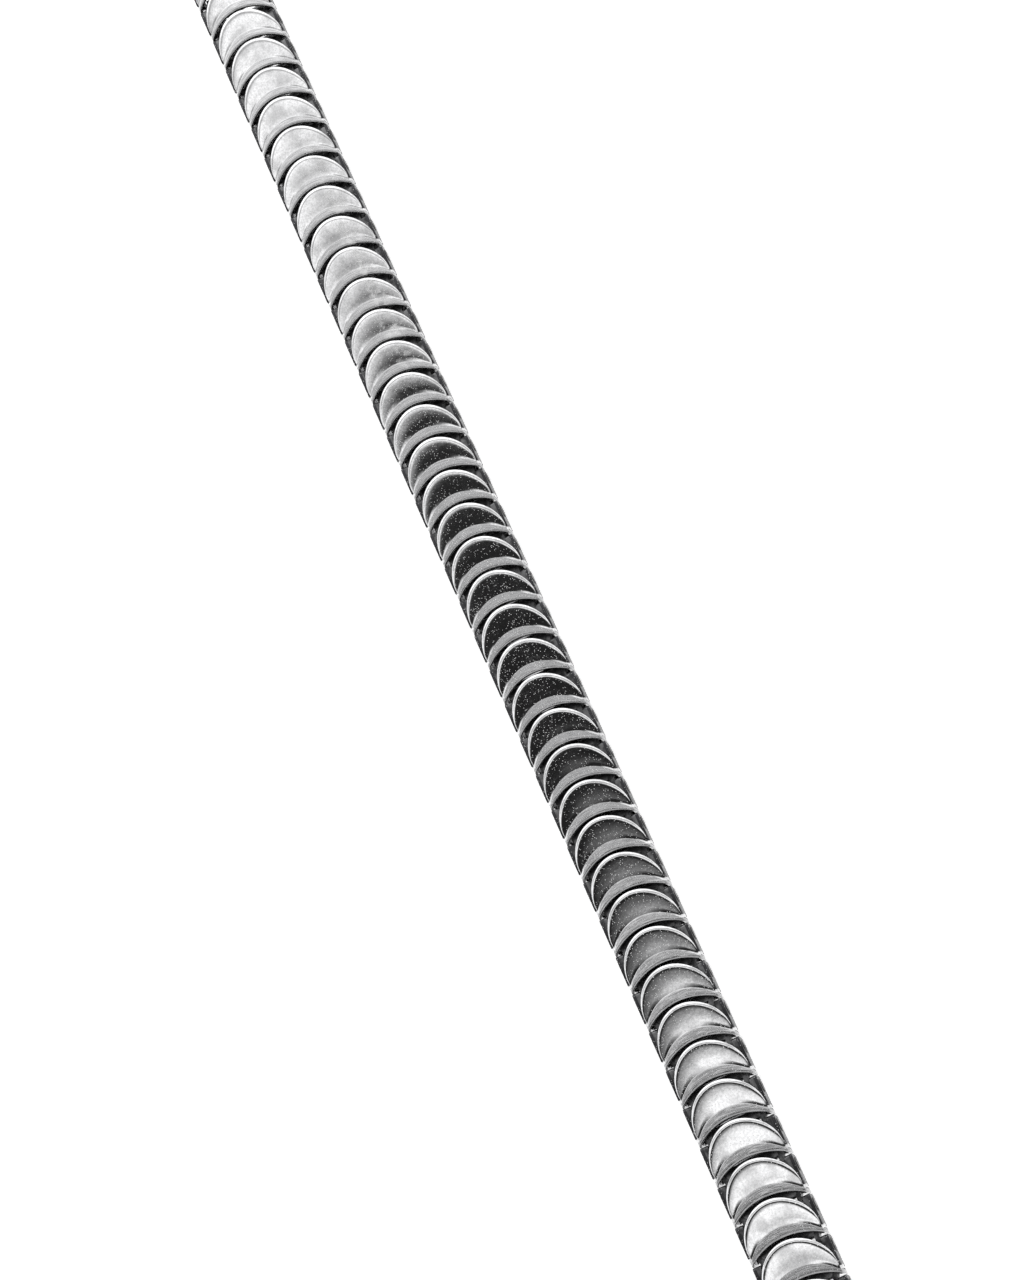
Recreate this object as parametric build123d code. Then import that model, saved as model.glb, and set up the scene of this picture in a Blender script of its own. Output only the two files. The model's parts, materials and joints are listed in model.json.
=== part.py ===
from build123d import *
import math
import os

# Armoured drive chain: forty identical links lying straight along X.
# Each link is a pressed steel shell over a cranked inner yoke, and a riveted
# cross pin hinges it to the link in front. Millimetres, +Z up, front is +X.

# Overall sizes
link_count = 40
pitch = 12.7            # from one hinge pin to the next
half_width = 12.2       # middle of the chain to the flat of a shell's side
lip_height = 7.3        # chain axis to the top of a shell's rear lip
split_links = 5         # links at each end whose pieces are nodes of their own

# Shell
wall = 1.0
nose_reach = 5.8        # hinge axis to the foremost point of the front rim
nose_inset = 0.2        # the round front outline is this much narrower than the sides
lip_gap = 1.0           # between a rim and the lip in front of it
tip_gap = 0.6           # between a shell's ears and the lip's side tips in front of them
back_side = 3.3         # half the height of the flat side, level with the crease
flange_side = 2.3       # the same at the lip, where the flange falls away sooner
flange_width = 3.3      # from lip to crease on the middle line
flange_fall = 0.15      # drop of the flange from lip to crease
body_rise = 1.15        # rise of the back from crease to rim
corner_radius = 2.4     # between the back and the flat side
rim_round = 0.8         # rounding of the front rim's upper edge

# Hinge
pin_radius = 1.8
head_lip = 0.35         # the head stands this far out round the pin
head_height = 0.25
head_bevel = 0.1
eye_radius = 3.0        # ears of the shell and eyes of the yoke
held_clearance = 0.02   # round the pin, in the ears and eyes that hold it
running_clearance = 0.05  # round the pin, in the eyes that turn on it

# Yoke
plate = 1.5
plate_gap = 0.1         # between neighbouring plates along the pin
waist = 2.0             # half the height of a plate between its eyes
crank_gap = 0.9         # from the crank's end to the rear eye
crank_length = 3.4
web_length = 3.0
web_height = 3.6

# Places worked out from the sizes above, in a link whose hinge pin is at the origin
lip_x = nose_reach + lip_gap - pitch
tip_x = eye_radius + tip_gap - pitch
lip_bow = lip_x - tip_x
crease_x = lip_x + flange_width
crease_height = lip_height - flange_fall
nose_height = crease_height + body_rise
nose_radius = half_width - nose_inset
nose_centre_x = nose_reach - nose_radius
lip_cut_radius = (half_width**2 + lip_bow**2) / (2 * lip_bow)
rise_slope = body_rise / (nose_reach - crease_x)
fall_slope = flange_fall / flange_width
overrun = 0.8           # cutting bodies pass this far beyond what they cut
tall = 2 * (nose_height + overrun)
head_radius = pin_radius + head_lip
crank_end = pitch - eye_radius - crank_gap
crank_start = crank_end - crank_length


def crown_radius(drop):
    """Radius of the arc that falls by drop from the middle to the side."""
    return (half_width**2 + drop**2) / (2 * drop)


def oval(x, height, drop, inset):
    """Shell section across the chain: two shallow arcs between flat sides."""
    half = half_width - inset
    top = height - inset
    radius = crown_radius(drop) - inset
    side = top - radius + math.sqrt(radius**2 - half**2)
    upper = ThreePointArc((-half, side), (0, top), (half, side))
    lower = ThreePointArc((half, -side), (0, -top), (-half, -side))
    edges = [upper, Line(upper @ 1, lower @ 0), lower, Line(lower @ 1, upper @ 0)]
    half_turn = (math.pi / 2 - math.asin(half / radius)) / 2
    room = 0.9 * side / math.tan(half_turn)
    face = make_face(Wire(edges))
    face = fillet(face.vertices(), min(corner_radius - inset, room))
    return Plane(origin=(x, 0, 0), x_dir=(0, 1, 0), z_dir=(1, 0, 0)) * face


def back(inset, x_low, x_high):
    """The rising back of the shell as a solid from x_low to x_high."""
    drop = crease_height - back_side
    heights = [crease_height + rise_slope * (x - crease_x) for x in (x_low, x_high)]
    return loft([oval(x_low, heights[0], drop, inset), oval(x_high, heights[1], drop, inset)])


def flange(inset, x_low, x_high):
    """The stepped rear flange, which the rim behind it moves over."""
    drop = lip_height - flange_side
    heights = [crease_height - fall_slope * (x - crease_x) for x in (x_low, x_high)]
    return loft([oval(x_low, heights[0], drop, inset), oval(x_high, heights[1], drop, inset)])


def nose_prism(radius, x_low):
    """Upright prism with the shell's plan outline: round in front, straight sides."""
    length = nose_centre_x - x_low
    sides = Pos(x_low + length / 2, 0) * Rectangle(length, 2 * half_width + overrun)
    outline = Pos(nose_centre_x, 0) * Circle(radius) + sides
    return extrude(outline, amount=tall / 2, both=True)


def disc(radius, y_low, y_high, x=0.0):
    """Cylinder along the hinge axis."""
    return Pos(x, (y_low + y_high) / 2, 0) * Rot(90, 0, 0) * Cylinder(radius, y_high - y_low)


def rim_edges(body):
    """Edges where the back meets the round front, above and below."""
    front = body.faces().filter_by(GeomType.CYLINDER).sort_by(Axis.X)[-1]
    return [e for e in front.edges() if not e.is_closed and abs(e.center().Z) > back_side]


def make_shell():
    back_low = tip_x - overrun
    nose_high = nose_reach + overrun
    hollow = back(wall, back_low - overrun, nose_high + overrun)
    flange_hollow = flange(wall, back_low - overrun, crease_x + overrun)
    lip_cut = Pos(lip_x - lip_cut_radius, 0, 0) * Cylinder(lip_cut_radius, tall)
    outline = nose_prism(nose_radius, back_low)
    body = (back(0, back_low, nose_high) + flange(0, back_low, crease_x + overrun)) & outline
    body = fillet(rim_edges(body), rim_round)
    ear_bar = Pos(nose_centre_x / 2, 0, 0) * Box(-nose_centre_x, 2 * half_width, 2 * eye_radius)
    ear_end = disc(eye_radius, -half_width, half_width)
    ears = (ear_bar + ear_end) & back(0, nose_centre_x, nose_high)
    shell = body + ears
    shell -= hollow
    shell -= flange_hollow
    shell -= lip_cut
    shell -= disc(pin_radius + held_clearance, -half_width - overrun, half_width + overrun)
    return shell


def make_yoke():
    outer_low = half_width - wall - held_clearance - plate
    inner_low = outer_low - plate_gap - plate
    outline = [
        (eye_radius, outer_low + plate),
        (-crank_start, outer_low + plate),
        (-crank_end, inner_low + plate),
        (-pitch - eye_radius, inner_low + plate),
        (-pitch - eye_radius, inner_low),
        (-crank_end, inner_low),
        (-crank_start, outer_low),
        (eye_radius, outer_low),
    ]
    side = extrude(make_face(Polyline(outline, close=True)), amount=eye_radius, both=True)
    profile_bar = Pos(-pitch / 2, 0, 0) * Box(pitch, 2 * half_width, 2 * waist)
    profile = profile_bar + disc(eye_radius, -half_width, half_width)
    profile += disc(eye_radius, -half_width, half_width, -pitch)
    side &= profile
    under_back = back(wall + held_clearance, -crank_end, eye_radius + overrun)
    behind = Pos(-crank_end - pitch / 2, 0, 0) * Box(pitch, 2 * half_width, tall)
    side &= under_back + behind
    web_x = -(crank_start + crank_end) / 2
    web_reach = inner_low + plate / 2
    web = Pos(web_x, 0, 0) * Box(web_length, 2 * web_reach, web_height)
    yoke = side + mirror(side, about=Plane.XZ) + web
    yoke -= disc(pin_radius + held_clearance, -half_width, half_width)
    yoke -= disc(pin_radius + running_clearance, -half_width, half_width, -pitch)
    return yoke


def make_pin():
    shank = disc(pin_radius, -half_width, half_width)
    heads = []
    for side in (-1, 1):
        low = min(side * half_width, side * (half_width + head_height))
        head = disc(head_radius, low, low + head_height)
        outer_face = head.faces().sort_by(Axis.Y)[-1 if side > 0 else 0]
        heads.append(chamfer(outer_face.edges(), head_bevel))
    return shank + heads


def save(node, pieces):
    shape = pieces[0] if len(pieces) == 1 else Compound(children=pieces)
    export_step(shape, f"parts/{node}.step")


os.makedirs("parts", exist_ok=True)

shell = make_shell()
yoke = make_yoke()
pin = make_pin()

rear_end = -link_count * pitch - eye_radius
middle_x = (nose_reach + rear_end) / 2
axis_height = shell.bounding_box().max.Z     # the lower shells rest on Z = 0

for number in range(1, link_count + 1):
    place = Pos(-(number - 1) * pitch - middle_x, 0, axis_height)
    pieces = {"shell": place * shell, "yoke": place * yoke}
    if number > 1:
        pieces["pin"] = place * pin     # the first link's bore is left free
    if number <= split_links or number > link_count - split_links:
        for name, piece in pieces.items():
            save(f"link_{number:02d}_{name}", [piece])
    else:
        save(f"link_{number:02d}", list(pieces.values()))
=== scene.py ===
import json
import math

import bmesh
import bpy
from mathutils import Matrix, Vector

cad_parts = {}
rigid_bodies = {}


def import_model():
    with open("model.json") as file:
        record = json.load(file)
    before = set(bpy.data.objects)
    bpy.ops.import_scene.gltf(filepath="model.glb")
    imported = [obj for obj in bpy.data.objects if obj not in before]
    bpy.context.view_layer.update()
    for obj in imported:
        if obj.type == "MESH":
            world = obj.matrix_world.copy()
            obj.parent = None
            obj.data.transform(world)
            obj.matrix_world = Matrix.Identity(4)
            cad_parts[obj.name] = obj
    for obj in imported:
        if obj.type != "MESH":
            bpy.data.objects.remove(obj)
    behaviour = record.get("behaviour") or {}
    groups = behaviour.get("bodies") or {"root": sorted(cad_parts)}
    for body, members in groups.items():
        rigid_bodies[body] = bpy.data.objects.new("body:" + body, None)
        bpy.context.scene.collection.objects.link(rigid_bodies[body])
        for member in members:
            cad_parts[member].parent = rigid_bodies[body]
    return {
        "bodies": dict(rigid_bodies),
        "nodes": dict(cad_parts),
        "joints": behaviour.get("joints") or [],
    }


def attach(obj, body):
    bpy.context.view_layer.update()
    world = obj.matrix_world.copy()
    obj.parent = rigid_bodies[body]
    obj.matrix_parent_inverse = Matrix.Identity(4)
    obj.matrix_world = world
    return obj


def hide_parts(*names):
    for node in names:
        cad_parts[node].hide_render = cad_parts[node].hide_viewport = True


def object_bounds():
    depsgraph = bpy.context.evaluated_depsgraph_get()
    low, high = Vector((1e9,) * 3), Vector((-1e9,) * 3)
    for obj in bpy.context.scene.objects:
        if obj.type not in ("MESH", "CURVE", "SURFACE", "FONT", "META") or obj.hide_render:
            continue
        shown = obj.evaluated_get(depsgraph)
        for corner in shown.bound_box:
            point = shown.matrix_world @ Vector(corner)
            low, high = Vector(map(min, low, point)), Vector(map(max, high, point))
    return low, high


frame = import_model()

cad_low, cad_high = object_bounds()
scene = bpy.context.scene

# Shells.
# One pressed cover per link: an arched back that rises to a rounded front rim, and
# behind a shallow crease a flange with a bowed lip. Sizes are millimetres, in a link
# whose hinge axis is at the origin with the front towards +X.
PITCH = 12.7
HALF_WIDTH = 12.2
WALL = 1.0
LIP_X = -5.9            # middle of the rear lip
LIP_RADIUS = 24.86      # plan radius of the lip's bow
LIP_REACH = 0.7         # the rolled-over lip: its length on the flange and its fall
LIP_FALL = 0.3
CREASE_X = -2.6
CREASE_HEIGHT = 7.15
BACK_DROP = 3.85        # fall of the back's arch from middle to side
FLANGE_DROP = 5.0
RISE = 0.137            # slope of the back up to the rim
BACK_BULGE = 0.05       # the back stands this much above that slope halfway
FALL = 0.0455           # slope of the flange down from lip to crease
CORNER = 2.4
NOSE_CENTRE_X = -6.2    # plan centre of the round front
NOSE_RADIUS = 12.0
NOSE_X = NOSE_CENTRE_X + NOSE_RADIUS
BACK_LENGTH = NOSE_X - CREASE_X
RIM_REACH = 1.6         # the rounded rim: its length on the back and its fall in front
RIM_FALL = 0.8
EAR_RADIUS = 3.0
EAR_INNER = 11.2        # middle of the chain to an ear's inner face
EAR_TAIL = -6.6         # where the ears end, inside the shell
EAR_FRONT = 3.2         # the ears end square, just short of the lip's side tips in front
EAR_CORNER = 1.0
EAR_BEVEL = 0.35
FACE_GAP = 0.01         # keeps the ears' outer faces just inside the flat sides
BORE_RADIUS = 1.82
COLUMNS = 48            # faces across the chain, and rows of faces along each stretch
CORNER_COLUMNS = (12.06, 12.14, 12.2)
SIDE_STEPS = (0.5, 0.0)
LIP_STEPS = 4
FLANGE_ROWS = 5
BACK_ROWS = 8
RIM_STEPS = 8
INNER_ROWS = 3


def crown(y, top, drop, inset):
    """Height of the arch at y, rounded into the flat side."""
    radius = (HALF_WIDTH**2 + drop**2) / (2 * drop) - inset
    corner = CORNER - inset
    inner = HALF_WIDTH - CORNER
    centre = top - inset - radius
    if abs(y) <= inner * radius / (radius - corner):
        return centre + math.sqrt(radius**2 - y * y)
    reach = min(abs(y) - inner, corner)
    return centre + math.sqrt((radius - corner) ** 2 - inner**2) + math.sqrt(corner**2 - reach**2)


def shell_height(x, y, inset=0.0, blend=0.02):
    """Top of the shell: the higher of back and flange, softened where they meet."""
    run = x - CREASE_X
    bulge = 4 * BACK_BULGE * run * (BACK_LENGTH - run) / BACK_LENGTH**2
    back = crown(y, CREASE_HEIGHT + RISE * run + bulge, BACK_DROP, inset)
    flange = crown(y, CREASE_HEIGHT - FALL * (x - CREASE_X), FLANGE_DROP, inset)
    return (back + flange + math.sqrt((back - flange) ** 2 + blend**2)) / 2


def lip_at(y):
    return LIP_X - LIP_RADIUS + math.sqrt(LIP_RADIUS**2 - y * y)


def crease_at(y):
    step = crown(y, 0, BACK_DROP, 0) - crown(y, 0, FLANGE_DROP, 0)
    return max(CREASE_X - step / (RISE + FALL), lip_at(y) + LIP_REACH + 0.2)


def on_crease(place):
    level = shell_height(place.x, place.y)
    return abs(place.x - crease_at(place.y)) < 1e-3 and abs(place.z) > level - 1e-3


def rim_point(angle, inset):
    """Plan point inset from the round front; at the sides the inset runs along X."""
    side = abs(math.sin(angle)) ** 8
    x = NOSE_CENTRE_X + NOSE_RADIUS * math.cos(angle) - inset * (side + (1 - side) * math.cos(angle))
    y = (NOSE_RADIUS - inset * (1 - side)) * math.sin(angle)
    return x, y


def mix(a, b, share):
    return a + (b - a) * share


def shell_column(angle, y_side):
    """Points of one column, over the outside from lip to rim and back along the inside."""
    y_out = math.copysign(y_side, angle) if y_side else NOSE_RADIUS * math.sin(angle)
    y_in = y_out * (HALF_WIDTH - WALL) / HALF_WIDTH
    x_lip = lip_at(y_out)
    x_crease = crease_at(y_out)
    x_start, y_start = rim_point(angle, RIM_REACH)
    if y_side:
        x_start, y_start = NOSE_CENTRE_X - RIM_REACH, y_out
    outside = [(mix(x_lip + LIP_REACH, x_crease, i / FLANGE_ROWS), y_out) for i in range(FLANGE_ROWS)]
    outside += [(mix(x_crease, x_start, i / BACK_ROWS), mix(y_out, y_start, i / BACK_ROWS))
                for i in range(BACK_ROWS)]
    points = []
    for i in range(LIP_STEPS):
        bend = math.radians(90 - 90 * i / LIP_STEPS)
        x = x_lip + LIP_REACH * (1 - math.sin(bend))
        points.append((x, y_out, shell_height(x, y_out) - LIP_FALL * (1 - math.cos(bend))))
    points += [(x, y, shell_height(x, y)) for x, y in outside]
    roundness = 0.0 if y_side else min(1.0, 6 * math.cos(angle))
    for i in range(RIM_STEPS + 1):
        bend = math.radians(90 * i / RIM_STEPS)
        inset = RIM_REACH * (1 - math.sin(bend))
        x, y = (NOSE_CENTRE_X - inset, y_out) if y_side else rim_point(angle, inset)
        points.append((x, y, shell_height(x, y) - RIM_FALL * roundness * (1 - math.cos(bend))))
    x_front = NOSE_CENTRE_X
    if not y_side:
        x_front += math.sqrt(max(NOSE_RADIUS**2 - y_in**2, 0)) * min(1.0, 6 * math.cos(angle))
    for i in range(INNER_ROWS + 1):
        x = mix(x_front, x_crease, i / INNER_ROWS)
        points.append((x, y_in, shell_height(x, y_in, WALL)))
    points.append((lip_at(y_in), y_in, shell_height(lip_at(y_in), y_in, WALL)))
    points.append(points[0])
    return points


def shell_columns():
    """(angle, side y or None, share of the side's height) for each column across the chain."""
    right = [(math.radians(90), y, 1.0) for y in CORNER_COLUMNS]
    right += [(math.radians(90), HALF_WIDTH, share) for share in SIDE_STEPS]
    left = [(-angle, y, share) for angle, y, share in reversed(right)]
    middle = [(math.radians(-90 + 180 * i / COLUMNS), None, 1.0) for i in range(COLUMNS + 1)]
    return left + middle + right


def mark_sharp(bm):
    """Smooth shading, but for edges that turn by more than 32 degrees."""
    for face in bm.faces:
        face.smooth = True
    for edge in bm.edges:
        edge.smooth = edge.is_manifold and edge.calc_face_angle(0) < math.radians(32)


def join(bm, part):
    """Adds the part's mesh to bm and frees the part."""
    carrier = bpy.data.meshes.new("part")
    part.to_mesh(carrier)
    part.free()
    bm.from_mesh(carrier)
    bpy.data.meshes.remove(carrier)


def flat_plate(bm, outline, holes, bevel, thickness, y_low):
    """Plate in the XZ plane with round holes and bevelled rims; holes are (x, radius)."""
    part = bmesh.new()
    span = part.verts.layers.float_vector.new("span")
    loops = [outline]
    for x, radius in holes:
        turns = [math.radians(15 * i) for i in range(24)]
        loops.append([(x + radius * math.cos(a), radius * math.sin(a)) for a in turns])
    for loop in loops:
        spots = [part.verts.new((x, y_low, z)) for x, z in loop]
        for i, spot in enumerate(spots):
            part.edges.new((spot, spots[(i + 1) % len(spots)]))
    bmesh.ops.triangle_fill(part, edges=part.edges[:], use_beauty=True)
    raised = bmesh.ops.extrude_face_region(part, geom=part.faces[:])["geom"]
    moved = [piece for piece in raised if isinstance(piece, bmesh.types.BMVert)]
    bmesh.ops.translate(part, verts=moved, vec=(0, thickness, 0))
    bmesh.ops.recalc_face_normals(part, faces=part.faces[:])
    corners = [e for e in part.edges if e.calc_face_angle(0) > math.radians(60)]
    bmesh.ops.bevel(part, geom=corners, offset=bevel, segments=2, profile=0.5,
                    affect="EDGES", material=-1, clamp_overlap=True)
    for spot in part.verts:
        spot[span] = (0, 0, -1)
    join(bm, part)


def square_end():
    """Front end of an ear or a yoke plate in the XZ plane, from its top round to its underside."""
    points = []
    for turn, z in ((90, EAR_RADIUS - EAR_CORNER), (0, EAR_CORNER - EAR_RADIUS)):
        turns = [math.radians(turn - 15 * i) for i in range(7)]
        points += [(EAR_FRONT - EAR_CORNER + EAR_CORNER * math.cos(a), z + EAR_CORNER * math.sin(a))
                   for a in turns]
    return points


def shell_mesh():
    columns = shell_columns()
    row_count = len(shell_column(0, None))
    bm = bmesh.new()
    span = bm.verts.layers.float_vector.new("span")
    grid = bmesh.ops.create_grid(bm, x_segments=len(columns) - 1, y_segments=row_count - 1, size=1)
    spots = sorted(grid["verts"], key=lambda v: (round(v.co.x, 5), round(v.co.y, 5)))
    for i, (angle, y_side, share) in enumerate(columns):
        for j, (x, y, z) in enumerate(shell_column(angle, y_side)):
            spot = spots[i * row_count + j]
            spot.co = (x, y, z * share)
            on_flange = j < LIP_STEPS + FLANGE_ROWS or j == row_count - 1
            spot[span] = (x - lip_at(y), y, float(on_flange))
    bmesh.ops.remove_doubles(bm, verts=bm.verts[:], dist=1e-4)
    bmesh.ops.mirror(bm, geom=bm.verts[:] + bm.edges[:] + bm.faces[:], matrix=Matrix(),
                     merge_dist=1e-3, axis="Z")
    bmesh.ops.recalc_face_normals(bm, faces=bm.faces[:])
    outline = square_end() + [(EAR_TAIL, -EAR_RADIUS), (EAR_TAIL, EAR_RADIUS)]
    for y_low in (EAR_INNER, FACE_GAP - HALF_WIDTH):
        flat_plate(bm, outline, [(0, BORE_RADIUS)], EAR_BEVEL, HALF_WIDTH - EAR_INNER - FACE_GAP, y_low)
    mark_sharp(bm)
    for edge in bm.edges:
        if all(on_crease(spot.co) for spot in edge.verts):
            edge.smooth = False
    return bm


def linear(hex_colour):
    """sRGB hex colour as linear RGBA."""
    parts = [int(hex_colour[i:i + 2], 16) / 255 for i in (0, 2, 4)]
    return (*[c / 12.92 if c <= 0.04045 else ((c + 0.055) / 1.055) ** 2.4 for c in parts], 1)


def add_node(tree, kind, sockets=None, **settings):
    """New shader node: sockets are set by name or number, to a value or from a link."""
    node = tree.nodes.new("ShaderNode" + kind)
    for key, value in settings.items():
        setattr(node, key, value)
    for key, value in (sockets or {}).items():
        if isinstance(value, bpy.types.NodeSocket):
            tree.links.new(value, node.inputs[key])
        else:
            node.inputs[key].default_value = value
    return node


def math_node(tree, operation, a, b=0.0, clamp=False):
    return add_node(tree, "Math", {0: a, 1: b}, operation=operation, use_clamp=clamp).outputs[0]


def remap(tree, value, low, high, to_low=0.0, to_high=1.0):
    """Value from low..high moved smoothly to to_low..to_high."""
    node = add_node(tree, "MapRange", {0: value, 1: low, 2: high, 3: to_low, 4: to_high},
                    interpolation_type="SMOOTHSTEP")
    return node.outputs[0]


def noise(tree, place, size_mm, detail=3.0):
    """Noise whose features are about size_mm across; place is in metres."""
    sockets = {"Vector": place, "Scale": 1000 / size_mm, "Detail": detail}
    return add_node(tree, "TexNoise", sockets).outputs[0]


def specks(tree, place, cell_mm, radius, share):
    """Round specks: one in each cell of cell_mm, kept in the given share of the cells."""
    cells = add_node(tree, "TexVoronoi", {"Vector": place, "Scale": 1000 / cell_mm})
    spot = remap(tree, cells.outputs["Distance"], radius, radius * 0.6)
    chance = add_node(tree, "SeparateColor", {0: cells.outputs["Color"]}).outputs[0]
    kept = math_node(tree, "LESS_THAN", chance, share)
    return math_node(tree, "MULTIPLY", spot, kept)


def mixed(tree, share, a, b):
    node = add_node(tree, "Mix", {0: share, 6: a, 7: b}, data_type="RGBA")
    return node.outputs[2]


def empty_material(name):
    material = bpy.data.materials.new(name)
    material.use_nodes = True
    tree = material.node_tree
    return material, tree, tree.nodes["Principled BSDF"]


def shell_material():
    # A mirror-bright pressing under a film of fine dust; the flange is left greyer and
    # streaked along the lip, the ears are dull and dark, and a wiped, cloudy smear runs
    # beside the middle line. The "span" attribute holds the distance from the lip, the
    # distance from the middle, and 1 on the flange, 0 on the back or -1 on an ear.
    material, tree, surface = empty_material("pressed stainless steel, polished")
    place = add_node(tree, "TexCoord").outputs["Object"]
    where = add_node(tree, "SeparateXYZ", {0: place})
    span = add_node(tree, "Attribute", attribute_name="span").outputs["Vector"]
    lanes = add_node(tree, "SeparateXYZ", {0: span})
    flange = math_node(tree, "MAXIMUM", lanes.outputs[2], 0.0)
    sides = math_node(tree, "MAXIMUM", math_node(tree, "MULTIPLY", lanes.outputs[2], -1.0), 0.0)
    patches = remap(tree, noise(tree, place, 7.0, 4.0), 0.42, 0.68)
    fine = specks(tree, place, 0.42, 0.34, 0.42)
    coarse = specks(tree, place, 0.52, 0.27, 0.5)
    along_lip = math_node(tree, "MULTIPLY", lanes.outputs[1], 0.08)
    by_link = math_node(tree, "MULTIPLY", where.outputs[0], 120)
    lane = add_node(tree, "CombineXYZ", {0: lanes.outputs[0], 1: along_lip, 2: by_link}).outputs[0]
    streaks = add_node(tree, "TexNoise", {"Vector": lane, "Scale": 3.2, "Detail": 3.0}).outputs[0]
    streaks = math_node(tree, "MULTIPLY", remap(tree, streaks, 0.35, 0.7), flange)
    beside = math_node(tree, "ABSOLUTE", math_node(tree, "ADD", where.outputs[1], 0.0045))
    smear = remap(tree, beside, 0.0045, 0.0005)
    reach = math_node(tree, "ABSOLUTE", math_node(tree, "SUBTRACT", where.outputs[0], 0.128))
    smear = math_node(tree, "MULTIPLY", smear, remap(tree, reach, 0.062, 0.02))
    smear = math_node(tree, "MULTIPLY", smear, remap(tree, noise(tree, place, 2.6, 5.0), 0.44, 0.62))
    film = math_node(tree, "MULTIPLY", patches, 0.006)
    film = math_node(tree, "ADD", film, math_node(tree, "MULTIPLY", smear, 0.55))
    cover = math_node(tree, "ADD", math_node(tree, "MULTIPLY", patches, 0.1), 0.015)
    dust = math_node(tree, "MULTIPLY", fine, cover)
    grit = math_node(tree, "MULTIPLY", coarse, math_node(tree, "ADD", patches, 0.55))
    dust = math_node(tree, "ADD", dust, grit)
    dust = math_node(tree, "ADD", dust, film, clamp=True)
    mottle = remap(tree, noise(tree, place, 0.7, 3.0), 0.3, 0.75)
    bare = mixed(tree, patches, linear("E6E6E7"), linear("C4C4C5"))
    bare = mixed(tree, math_node(tree, "MULTIPLY", mottle, 0.45), bare, linear("A2A2A3"))
    bare = mixed(tree, math_node(tree, "MULTIPLY", flange, 0.75), bare, linear("B0B0B1"))
    bare = mixed(tree, math_node(tree, "MULTIPLY", streaks, 0.7), bare, linear("8E8E8F"))
    bare = mixed(tree, sides, bare, linear("3E3E40"))
    tree.links.new(mixed(tree, dust, bare, linear("ECECEC")), surface.inputs["Base Color"])
    tree.links.new(math_node(tree, "SUBTRACT", 1.0, dust), surface.inputs["Metallic"])
    rough = math_node(tree, "ADD", math_node(tree, "MULTIPLY", patches, 0.04), 0.05)
    rough = math_node(tree, "ADD", rough, math_node(tree, "MULTIPLY", flange, 0.09))
    rough = math_node(tree, "ADD", rough, math_node(tree, "MULTIPLY", sides, 0.25))
    rough = math_node(tree, "ADD", rough, math_node(tree, "MULTIPLY", streaks, 0.12))
    rough = math_node(tree, "ADD", rough, math_node(tree, "MULTIPLY", dust, 0.5), clamp=True)
    tree.links.new(rough, surface.inputs["Roughness"])
    swell = math_node(tree, "MULTIPLY", noise(tree, place, 3.5, 2.0), 0.012)
    grain = math_node(tree, "MULTIPLY", noise(tree, place, 0.5, 2.0), 0.0022)
    scores = math_node(tree, "MULTIPLY", streaks, 0.01)
    height = math_node(tree, "ADD", math_node(tree, "ADD", swell, grain), scores)
    bump = add_node(tree, "Bump", {"Strength": 1.0, "Distance": 0.001, "Height": height})
    tree.links.new(bump.outputs[0], surface.inputs["Normal"])
    return material


def plain_steel(name, bright, dull, low, high):
    # Bare steel with cloudy tone and roughness, and a fine grain.
    material, tree, surface = empty_material(name)
    place = add_node(tree, "TexCoord").outputs["Object"]
    clouds = remap(tree, noise(tree, place, 2.4, 4.0), 0.35, 0.68)
    tree.links.new(mixed(tree, clouds, linear(bright), linear(dull)), surface.inputs["Base Color"])
    tree.links.new(remap(tree, clouds, 0, 1, low, high), surface.inputs["Roughness"])
    surface.inputs["Metallic"].default_value = 1.0
    grain = math_node(tree, "MULTIPLY", noise(tree, place, 0.35, 2.0), 0.006)
    bump = add_node(tree, "Bump", {"Strength": 1.0, "Distance": 0.001, "Height": grain})
    tree.links.new(bump.outputs[0], surface.inputs["Normal"])
    return material


shell_steel = shell_material()
yoke_steel = plain_steel("blanked spring steel, tumbled", "6E6E6F", "3C3C3D", 0.28, 0.5)
pin_steel = plain_steel("turned steel, darkened by heat treatment", "343333", "191919", 0.22, 0.45)


def place_piece(bm, name, link, material):
    """One link's copy of a piece, moved to the link's hinge and handed to its body."""
    body = f"link_{link:02d}"
    own_node = f"{body}_{name}"
    mesh = bpy.data.meshes.new(name)
    bm.to_mesh(mesh)
    mesh.materials.append(material)
    mesh.transform(Matrix.Translation((hinge_x[link], 0, axis_height)) @ Matrix.Scale(0.001, 4))
    piece = bpy.data.objects.new(f"{name}_{link:02d}", mesh)
    scene.collection.objects.link(piece)
    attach(piece, body)
    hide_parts(own_node if own_node in frame["nodes"] else body)


link_count = len(frame["bodies"])
axis_height = frame["joints"][0]["pos_m"][2]
first_hinge = cad_high.x - NOSE_X / 1000
hinge_x = {k: first_hinge - (k - 1) * PITCH / 1000 for k in range(1, link_count + 1)}

shell = shell_mesh()
for k in range(1, link_count + 1):
    place_piece(shell, "shell", k, shell_steel)

# Yokes.
# A cranked plate each side of the link joins its own pin in front to the pin of the
# link behind, with a web between the plates.
YOKE_OUTER = 9.68       # middle of the chain to a plate's inner face at the front eye
YOKE_INNER = 8.08       # and at the rear eye
YOKE_PLATE = 1.5
YOKE_BEVEL = 0.12
RUNNING_RADIUS = 1.85   # bore of the rear eyes, which turn on the pin
WAIST = 2.0             # half the height of a plate between its eyes
CRANK = (-5.4, -8.8)    # where a plate steps inwards
WEB_X = -7.1
WEB_SIZE = (3.0, 17.7, 3.6)
WEB_BEVEL = 0.3

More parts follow.
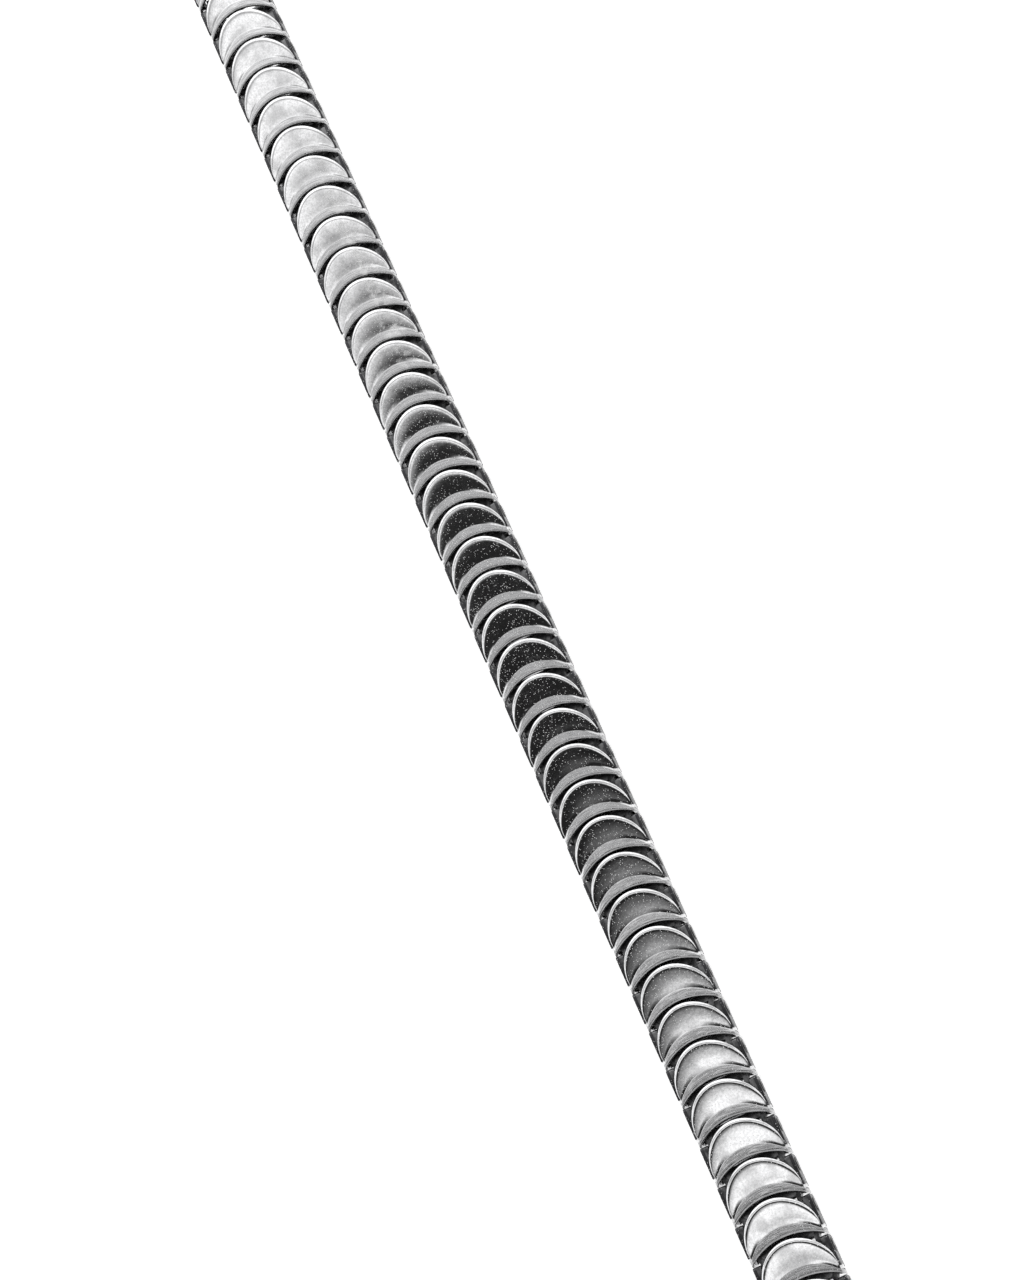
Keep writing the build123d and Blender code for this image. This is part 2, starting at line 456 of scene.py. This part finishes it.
yoke = bmesh.new()
turn = math.degrees(math.asin(WAIST / EAR_RADIUS))
shoulder = -math.sqrt(EAR_RADIUS**2 - WAIST**2)
rear_eye = [math.radians(-turn - (360 - 2 * turn) * i / 24) for i in range(25)]
outline = [(shoulder, WAIST), (shoulder / 2, EAR_RADIUS)] + square_end()
outline += [(shoulder / 2, -EAR_RADIUS), (shoulder, -WAIST)]
outline += [(-PITCH + EAR_RADIUS * math.cos(a), EAR_RADIUS * math.sin(a)) for a in rear_eye]
holes = [(0, BORE_RADIUS), (-PITCH, RUNNING_RADIUS)]
flat_plate(yoke, outline, holes, YOKE_BEVEL, YOKE_PLATE, YOKE_INNER)
for x in CRANK:
    bmesh.ops.bisect_plane(yoke, geom=yoke.verts[:] + yoke.edges[:] + yoke.faces[:],
                           plane_co=(x, 0, 0), plane_no=(1, 0, 0))
for spot in yoke.verts:
    share = (spot.co.x - CRANK[1]) / (CRANK[0] - CRANK[1])
    spot.co.y += (YOKE_OUTER - YOKE_INNER) * min(max(share, 0), 1)
bmesh.ops.mirror(yoke, geom=yoke.verts[:] + yoke.edges[:] + yoke.faces[:], matrix=Matrix(),
                 merge_dist=-1, axis="Y")
web = bmesh.new()
web_place = Matrix.Translation((WEB_X, 0, 0)) @ Matrix.Diagonal((*WEB_SIZE, 1))
bmesh.ops.create_cube(web, size=1, matrix=web_place)
bmesh.ops.bevel(web, geom=web.edges[:], offset=WEB_BEVEL, segments=2, profile=0.5,
                affect="EDGES", material=-1)
join(yoke, web)
bmesh.ops.recalc_face_normals(yoke, faces=yoke.faces[:])
mark_sharp(yoke)
for k in range(1, link_count + 1):
    place_piece(yoke, "yoke", k, yoke_steel)

# Pins.
# A turned cross pin with a low riveted head at each side.
PIN_PROFILE = ((0, 12.45), (1.6, 12.43), (2.0, 12.38), (2.12, 12.3), (2.15, 12.2), (1.8, 12.2),
               (1.8, 0))    # radius and distance along the pin, from a head's middle to the shank's

pin = bmesh.new()
profile = list(PIN_PROFILE) + [(r, -y) for r, y in reversed(PIN_PROFILE[:-1])]
spots = [pin.verts.new((r, y, 0)) for r, y in profile]
edges = [pin.edges.new(pair) for pair in zip(spots, spots[1:])]
bmesh.ops.spin(pin, geom=spots + edges, cent=(0, 0, 0), axis=(0, 1, 0), angle=math.tau,
               steps=24, use_merge=True)
bmesh.ops.remove_doubles(pin, verts=pin.verts[:], dist=1e-4)
bmesh.ops.recalc_face_normals(pin, faces=pin.faces[:])
mark_sharp(pin)
for k in range(2, link_count + 1):
    place_piece(pin, "pin", k, pin_steel)

# Camera.
# A short telephoto looks down on the chain from beyond its rear end, with the
# chain running from the lower right of the frame to the upper left.
along = Vector((-0.3788, 0.8514, -0.3627)).normalized()   # the chain, in the camera's axes
across = Vector((-0.9136, -0.4065, 0.0)).normalized()
attitude = Matrix((along, across, along.cross(across)))   # its columns are the camera's axes
aim = Vector((-0.0171, 0.0, axis_height))
camera_data = bpy.data.cameras.new("camera")
camera_data.sensor_width = 36.0
camera_data.lens = 84.4
camera_data.clip_start = 0.05
camera_data.clip_end = 20.0
camera = bpy.data.objects.new("camera", camera_data)
scene.collection.objects.link(camera)
lean_over = Matrix.Rotation(math.radians(9), 4, "X")    # more of the right flank shows
stand_off = Matrix.Translation((-0.0018, -0.0008, 0.948))
camera.matrix_world = Matrix.Translation(aim) @ lean_over @ attitude.to_4x4() @ stand_off
scene.camera = camera

# Floor and light.
# Matt white paper under a soft sky. The sky's tone changes along the chain's direction,
# in wide bands, which the polished shells mirror as bright and dark links.
bpy.ops.mesh.primitive_plane_add(size=6.0)
floor = bpy.context.object
floor.name = "floor"
paper = bpy.data.materials.new("white paper, matt")
paper.use_nodes = True
paper_surface = paper.node_tree.nodes["Principled BSDF"]
paper_surface.inputs["Base Color"].default_value = linear("F4F4F4")
paper_surface.inputs["Roughness"].default_value = 1.0
paper_surface.inputs["Emission Color"].default_value = (1, 1, 1, 1)
paper_surface.inputs["Emission Strength"].default_value = 0.5
floor.data.materials.append(paper)

world = bpy.data.worlds.new("studio")
scene.world = world
world.use_nodes = True
sky = world.node_tree
towards = add_node(sky, "TexCoord").outputs["Generated"]
split = add_node(sky, "SeparateXYZ", {0: towards})
lean = math_node(sky, "DIVIDE", math_node(sky, "ARCCOSINE", split.outputs["X"]), math.pi)
ramp = add_node(sky, "ValToRGB", {"Fac": lean})
# degrees from the chain's front direction, and tone
SKY = ((0, 1.0), (50, 1.0), (57, 0.5), (62, 0.42), (65, 0.28), (68, 0.3), (71, 0.7), (75, 0.56),
       (77.6, 0.33), (80, 0.015), (87, 0.008), (90, 0.09), (92, 0.23), (94.5, 0.7), (96.2, 0.7),
       (98.2, 0.38), (180, 0.4))
bands = ramp.color_ramp
while len(bands.elements) < len(SKY):
    bands.elements.new(0.5)
for band, (angle, tone) in zip(bands.elements, SKY):
    band.position = angle / 180
    band.color = (tone, tone, tone, 1)
background = sky.nodes["Background"]
background.inputs["Strength"].default_value = 2.0
seen = add_node(sky, "LightPath").outputs["Is Camera Ray"]
backdrop = mixed(sky, seen, ramp.outputs["Color"], (0.5, 0.5, 0.5, 1))    # seen directly, plain white
sky.links.new(backdrop, background.inputs["Color"])
scene.view_settings.view_transform = "Standard"
